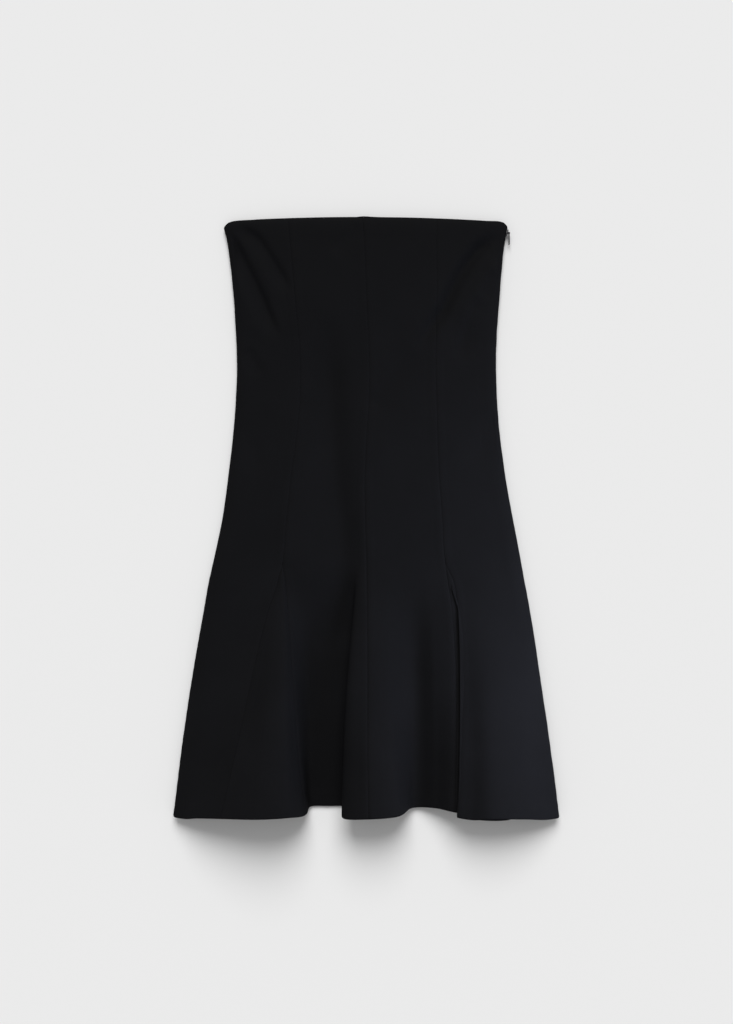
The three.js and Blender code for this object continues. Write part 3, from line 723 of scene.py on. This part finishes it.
# A woven ribbon with square edges along the line
def ribbon_tree(finish):
    tree, start, curve = new_tree("zip_ribbon", RIBBON)
    profile = tree.nodes.new("GeometryNodeCurvePrimitiveQuadrilateral")
    tree.links.new(start.outputs["Thickness"], profile.inputs["Width"])
    tree.links.new(start.outputs["Width"], profile.inputs["Height"])
    swept = tree.nodes.new("GeometryNodeCurveToMesh")
    swept.inputs["Fill Caps"].default_value = True
    tree.links.new(curve, swept.inputs["Curve"])
    tree.links.new(profile.outputs["Curve"], swept.inputs["Profile Curve"])
    return end_tree(tree, swept.outputs["Mesh"], finish)


# A closed coil: flat loops of wire round the line, 40 faces each
def coil_tree(finish):
    tree, start, curve = new_tree("zip_coil", COIL)
    round_loop = tree.nodes.new("GeometryNodeCurvePrimitiveCircle")
    round_loop.inputs["Resolution"].default_value = 10
    round_loop.inputs["Radius"].default_value = 0.5
    loop = tree.nodes.new("GeometryNodeTransform")
    tree.links.new(round_loop.outputs["Curve"], loop.inputs["Geometry"])
    oval = vector_of(tree, start.outputs["Depth"], start.outputs["Height"], 1)
    tree.links.new(oval, loop.inputs["Scale"])
    round_wire = tree.nodes.new("GeometryNodeCurvePrimitiveCircle")
    round_wire.inputs["Resolution"].default_value = 4
    round_wire.inputs["Radius"].default_value = 0.5
    wire = tree.nodes.new("GeometryNodeTransform")
    tree.links.new(round_wire.outputs["Curve"], wire.inputs["Geometry"])
    thick = start.outputs["Wire"]
    tree.links.new(vector_of(tree, thick, thick, 1), wire.inputs["Scale"])
    swept = tree.nodes.new("GeometryNodeCurveToMesh")
    tree.links.new(loop.outputs["Geometry"], swept.inputs["Curve"])
    tree.links.new(wire.outputs["Geometry"], swept.inputs["Profile Curve"])
    loops = set_along(tree, start, curve, swept.outputs["Mesh"], COIL_SEED, COIL_TURN)
    return end_tree(tree, loops, finish)


# Blind stitches: short domed bars of thread along the line, 20 faces each
def stitch_tree(finish):
    tree, start, curve = new_tree("hem_stitches", STITCH)
    bead = tree.nodes.new("GeometryNodeMeshIcoSphere")
    bead.inputs["Radius"].default_value = 0.5
    bead.inputs["Subdivisions"].default_value = 1
    bar = tree.nodes.new("GeometryNodeTransform")
    tree.links.new(bead.outputs["Mesh"], bar.inputs["Geometry"])
    thick = start.outputs["Thickness"]
    tree.links.new(vector_of(tree, thick, thick, start.outputs["Length"]), bar.inputs["Scale"])
    stitches = set_along(tree, start, curve, bar.outputs["Geometry"], STITCH_SEED, STITCH_TURN)
    return end_tree(tree, stitches, finish)


# A line piece's mesh becomes what a tree makes of the line, with no modifier left on it
def make_from(piece, tree, sizes):
    modifier = piece.modifiers.new(tree.name, "NODES")
    modifier.node_group = tree
    for item in tree.interface.items_tree:
        if item.in_out == "INPUT" and item.name in sizes:
            modifier[item.identifier] = sizes[item.name] * MM
    bpy.context.view_layer.update()
    shape = piece.evaluated_get(bpy.context.evaluated_depsgraph_get())
    mesh = bpy.data.meshes.new_from_object(shape)
    finish = tree.nodes["finish"].inputs["Material"].default_value
    mesh.materials.clear()
    mesh.materials.append(finish)
    mesh.polygons.foreach_set("material_index", [0] * len(mesh.polygons))
    piece.modifiers.clear()
    piece.data = mesh
    return piece


# Points of a line behind the right side seam, at a depth behind its face
def zip_line(behind):
    downs = np.linspace(ZIP_TOP, ZIP_BOTTOM, ZIP_POINTS)
    return [(OUTLINE["rightEdge"](d) - ZIP_BEHIND - behind + FOOTPRINT_CENTRE[0],
             FOOTPRINT_CENTRE[1] - d, OUTLINE["roll"](d)) for d in downs]


# Woven finishes: darkest and lightest colour, threads to a metre, strength of the bump, sheen
CLOTHS = {
    "black_crepe": ((0.0034, 0.0034, 0.0038), (0.0046, 0.0046, 0.0052), 2200, 0.5, 0.0),
    "woven_tape": ((0.003, 0.003, 0.003), (0.005, 0.005, 0.005), 1600, 0.6, 0.03),
    "black_thread": ((0.004, 0.004, 0.005), (0.007, 0.007, 0.008), 3000, 0.4, 0.05),
}
CLOTH_ROUGHNESS = (0.78, 0.9)
CLOTH_SPECULAR = 0.05
SHEEN_ROUGHNESS = 0.45
SHEEN_TINT = (0.75, 0.8, 1.0)
WEAVE_HEIGHT = 0.00012      # metres
GRAIN_SHARE = 0.4           # grains of the crepe to a thread
BAND_SCALE = 0.31           # makes one band of the texture about one thread

# Gunmetal: darkest and lightest colour, range of roughness and size of the grain
METAL_COLOURS = ((0.02, 0.02, 0.022), (0.05, 0.05, 0.053))
METAL_ROUGHNESS = (0.4, 0.55)
METAL_GRAIN = 900


def new_material(name):
    material = bpy.data.materials.new(name)
    material.use_nodes = True
    tree = material.node_tree
    return material, tree, tree.nodes["Principled BSDF"]


def crepe_group():
    """Crepe: two crossing sets of fine, uneven threads, and the pebbled grain over them."""
    group = bpy.data.node_groups.new("crepe_weave", "ShaderNodeTree")
    face = group.interface
    face.new_socket("Vector", in_out="INPUT", socket_type="NodeSocketVector")
    threads = face.new_socket("Threads per metre", in_out="INPUT", socket_type="NodeSocketFloat")
    threads.default_value = 2200
    grain = face.new_socket("Grain size", in_out="INPUT", socket_type="NodeSocketFloat")
    grain.default_value = 900
    face.new_socket("Height", in_out="OUTPUT", socket_type="NodeSocketFloat")
    face.new_socket("Patches", in_out="OUTPUT", socket_type="NodeSocketFloat")
    nodes = group.nodes
    links = group.links
    start = nodes.new("NodeGroupInput")
    end = nodes.new("NodeGroupOutput")

    def scaled(factor_socket):
        scale = nodes.new("ShaderNodeVectorMath")
        scale.operation = "SCALE"
        links.new(start.outputs["Vector"], scale.inputs[0])
        links.new(factor_socket, scale.inputs["Scale"])
        return scale.outputs["Vector"]

    waves = []
    for direction in ("X", "Y"):
        wave = nodes.new("ShaderNodeTexWave")
        wave.bands_direction = direction
        wave.inputs["Scale"].default_value = BAND_SCALE
        wave.inputs["Distortion"].default_value = 2.4
        wave.inputs["Detail"].default_value = 1.0
        links.new(scaled(start.outputs["Threads per metre"]), wave.inputs["Vector"])
        waves.append(wave)
    weave = nodes.new("ShaderNodeMath")
    weave.operation = "MAXIMUM"
    links.new(waves[0].outputs["Fac"], weave.inputs[0])
    links.new(waves[1].outputs["Fac"], weave.inputs[1])
    pebble = nodes.new("ShaderNodeTexNoise")
    pebble.inputs["Scale"].default_value = 1.0
    pebble.inputs["Detail"].default_value = 3.0
    links.new(scaled(start.outputs["Grain size"]), pebble.inputs["Vector"])
    height = nodes.new("ShaderNodeMath")
    height.operation = "MULTIPLY_ADD"
    height.inputs[1].default_value = 0.45
    links.new(weave.outputs[0], height.inputs[0])
    links.new(pebble.outputs["Fac"], height.inputs[2])
    links.new(height.outputs[0], end.inputs["Height"])
    patches = nodes.new("ShaderNodeTexNoise")
    patches.inputs["Scale"].default_value = 9.0
    patches.inputs["Detail"].default_value = 4.0
    links.new(start.outputs["Vector"], patches.inputs["Vector"])
    links.new(patches.outputs["Fac"], end.inputs["Patches"])
    return group


WEAVE = crepe_group()


def cloth_material(name, has_cut=True):
    """Woven cloth: on a panel its threads follow the cut, and elsewhere the piece's own axes."""
    low, high, threads, bump, sheen = CLOTHS[name]
    material, tree, shader = new_material(name)
    nodes = tree.nodes
    links = tree.links
    place = nodes.new("ShaderNodeUVMap" if has_cut else "ShaderNodeTexCoord")
    if has_cut:
        place.uv_map = "cloth"
    weave = nodes.new("ShaderNodeGroup")
    weave.node_tree = WEAVE
    weave.inputs["Threads per metre"].default_value = threads
    weave.inputs["Grain size"].default_value = threads * GRAIN_SHARE
    links.new(place.outputs["UV" if has_cut else "Object"], weave.inputs["Vector"])
    shade = nodes.new("ShaderNodeValToRGB")
    shade.color_ramp.elements[0].position = 0.3
    shade.color_ramp.elements[0].color = (*low, 1)
    shade.color_ramp.elements[1].position = 0.75
    shade.color_ramp.elements[1].color = (*high, 1)
    links.new(weave.outputs["Patches"], shade.inputs["Fac"])
    links.new(shade.outputs["Color"], shader.inputs["Base Color"])
    rough = nodes.new("ShaderNodeMapRange")
    rough.inputs["To Min"].default_value = CLOTH_ROUGHNESS[0]
    rough.inputs["To Max"].default_value = CLOTH_ROUGHNESS[1]
    links.new(weave.outputs["Patches"], rough.inputs["Value"])
    links.new(rough.outputs["Result"], shader.inputs["Roughness"])
    bumps = nodes.new("ShaderNodeBump")
    bumps.inputs["Strength"].default_value = bump
    bumps.inputs["Distance"].default_value = WEAVE_HEIGHT
    links.new(weave.outputs["Height"], bumps.inputs["Height"])
    links.new(bumps.outputs["Normal"], shader.inputs["Normal"])
    shader.inputs["Specular IOR Level"].default_value = CLOTH_SPECULAR
    shader.inputs["Sheen Weight"].default_value = sheen
    shader.inputs["Sheen Roughness"].default_value = SHEEN_ROUGHNESS
    shader.inputs["Sheen Tint"].default_value = (*SHEEN_TINT, 1)
    return material


def metal_material():
    material, tree, shader = new_material("gunmetal_plate")
    nodes = tree.nodes
    links = tree.links
    place = nodes.new("ShaderNodeTexCoord")
    grain = nodes.new("ShaderNodeTexNoise")
    grain.inputs["Scale"].default_value = METAL_GRAIN
    grain.inputs["Detail"].default_value = 3
    links.new(place.outputs["Object"], grain.inputs["Vector"])
    colour = nodes.new("ShaderNodeValToRGB")
    for element, shade in zip(colour.color_ramp.elements, METAL_COLOURS):
        element.color = (*shade, 1)
    links.new(grain.outputs["Fac"], colour.inputs["Fac"])
    links.new(colour.outputs["Color"], shader.inputs["Base Color"])
    rough = nodes.new("ShaderNodeMapRange")
    rough.inputs["To Min"].default_value = METAL_ROUGHNESS[0]
    rough.inputs["To Max"].default_value = METAL_ROUGHNESS[1]
    links.new(grain.outputs["Fac"], rough.inputs["Value"])
    links.new(rough.outputs["Result"], shader.inputs["Roughness"])
    shader.inputs["Metallic"].default_value = 1.0
    return material


FLOOR_HALF = 6              # metres
FLOOR_DROP = 0.0002         # the ground lies this far below the cloth
FLOOR_GREY = 0.8


def floor():
    mesh = bpy.data.meshes.new("floor")
    corners = [(x * FLOOR_HALF, y * FLOOR_HALF, 0) for x, y in ((-1, -1), (1, -1), (1, 1), (-1, 1))]
    mesh.from_pydata(corners, [], [(0, 1, 2, 3)])
    plane = bpy.data.objects.new("floor", mesh)
    bpy.context.scene.collection.objects.link(plane)
    plane.location.z = -FLOOR_DROP
    material, _, shader = new_material("pale_ground")
    shader.inputs["Base Color"].default_value = (FLOOR_GREY, FLOOR_GREY, FLOOR_GREY, 1)
    shader.inputs["Roughness"].default_value = 0.9
    shader.inputs["Specular IOR Level"].default_value = 0.1
    mesh.materials.append(material)


KEY_ELEVATION = 41          # degrees
KEY_SPREAD = 38
KEY_STRENGTH = 2.95
SKY_STRENGTH = 0.42

# Low strip lights beside the dress: place, what each is aimed at, length along Y and power
SIDE_WIDTH = 0.2
SIDE_COLOUR = (0.73, 0.79, 1.0)
SIDE_LIGHTS = [
    ("side_low", (0.42, -0.3, 0.2), (0.1, -0.25, 0), 0.4, 1.45),
    ("side_high", (0.36, -0.03, 0.2), (0.15, 0, 0), 0.6, 1.5),
    ("side_left", (-0.45, 0, 0.25), (-0.1, 0, 0), 1.0, 0.5),
]

# What the side lights fall on: the dress, and not the ground beside it
DRESS_ONLY = bpy.data.collections.new("dress_only")


# A broad, even light from beyond the neckline
def key_light():
    data = bpy.data.lights.new("key", "SUN")
    data.energy = KEY_STRENGTH
    data.angle = math.radians(KEY_SPREAD)
    light = bpy.data.objects.new("key", data)
    bpy.context.scene.collection.objects.link(light)
    light.rotation_euler = (math.radians(90 - KEY_ELEVATION), 0, math.pi)


# A strip light that falls on the dress alone and isn't seen itself
def strip_light(name, place, target, length, power):
    data = bpy.data.lights.new(name, "AREA")
    data.shape = "RECTANGLE"
    data.size = length
    data.size_y = SIDE_WIDTH
    data.energy = power
    data.color = SIDE_COLOUR
    light = bpy.data.objects.new(name, data)
    bpy.context.scene.collection.objects.link(light)
    light.location = place
    aim = np.array(target, dtype=float) - np.array(place, dtype=float)
    yaw = math.atan2(aim[1], aim[0])
    light.rotation_euler = (math.acos(-aim[2] / np.linalg.norm(aim)), 0, yaw - math.pi / 2)
    light.visible_camera = False
    light.light_linking.receiver_collection = DRESS_ONLY


# The photograph is square on. Its centre is 512 pixels down a frame 1024 pixels high.
PIXEL = 1.33                # millimetres of the surface to a pixel of the photograph
FRAME_PIXELS = 1024
VIEW_HEIGHT = 1.9
VIEW_CENTRE = (0.0002, 0.0095)
SENSOR = 36


def camera():
    data = bpy.data.cameras.new("camera")
    data.sensor_fit = "VERTICAL"
    data.sensor_height = SENSOR
    data.lens = SENSOR * VIEW_HEIGHT / (FRAME_PIXELS * PIXEL * MM)
    eye = bpy.data.objects.new("camera", data)
    bpy.context.scene.collection.objects.link(eye)
    eye.location = (*VIEW_CENTRE, VIEW_HEIGHT)
    bpy.context.scene.camera = eye


def lighting():
    key_light()
    for strip in SIDE_LIGHTS:
        strip_light(*strip)
    world = bpy.data.worlds.new("studio")
    bpy.context.scene.world = world
    world.use_nodes = True
    sky = world.node_tree.nodes["Background"]
    sky.inputs["Color"].default_value = (1, 1, 1, 1)
    sky.inputs["Strength"].default_value = SKY_STRENGTH
    bpy.context.scene.view_settings.view_transform = "Standard"


camera()
lighting()
floor()

crepe = cloth_material("black_crepe")
tape = cloth_material("woven_tape", has_cut=False)
thread = cloth_material("black_thread", has_cut=False)
gunmetal = metal_material()

# The cut of each panel as it shows, seam to seam and neckline to hem: width and length of the
# cloth and its flat area, in metres
CUT = {
    "front_side_left": (0.157, 0.79, 0.086),
    "front_centre_left": (0.145, 0.79, 0.088),
    "front_centre_right": (0.148, 0.79, 0.0845),
    "front_side_right": (0.151, 0.79, 0.08),
    "godet_left": (0.135, 0.335, 0.022),
    "godet_right": (0.169, 0.345, 0.0247),
    "back": (0.442, 0.785, 0.298),
}


# Puts a piece on the dress's own body, among what the side lights fall on
def on_dress(piece):
    DRESS_ONLY.objects.link(piece)
    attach(piece, "dress")
    return piece


blind_stitch = stitch_tree(thread)
for panel, (width, length, area) in CUT.items():
    cloth, stitch_line = cloth_panel(panel)
    cloth.data.materials.append(crepe)
    on_dress(cloth)
    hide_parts(panel)
    stitches = make_from(line_piece("hem_stitches_" + panel, stitch_line), blind_stitch, STITCH)
    on_dress(stitches)

zip_pieces = [
    ("zip_ribbon", RIBBON["Thickness"] / 2, ribbon_tree(tape), RIBBON),
    ("zip_coil", RIBBON["Thickness"] + COIL["Depth"] / 2, coil_tree(thread), COIL),
]
for name, behind, tree, sizes in zip_pieces:
    zip_piece = make_from(line_piece(name, zip_line(behind)), tree, sizes)
    on_dress(zip_piece)
    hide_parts("zip_tape")

for node in ("zip_slider", "zip_pull"):
    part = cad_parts[node]
    DRESS_ONLY.objects.link(part)
    part.data.materials.clear()
    part.data.materials.append(gunmetal)
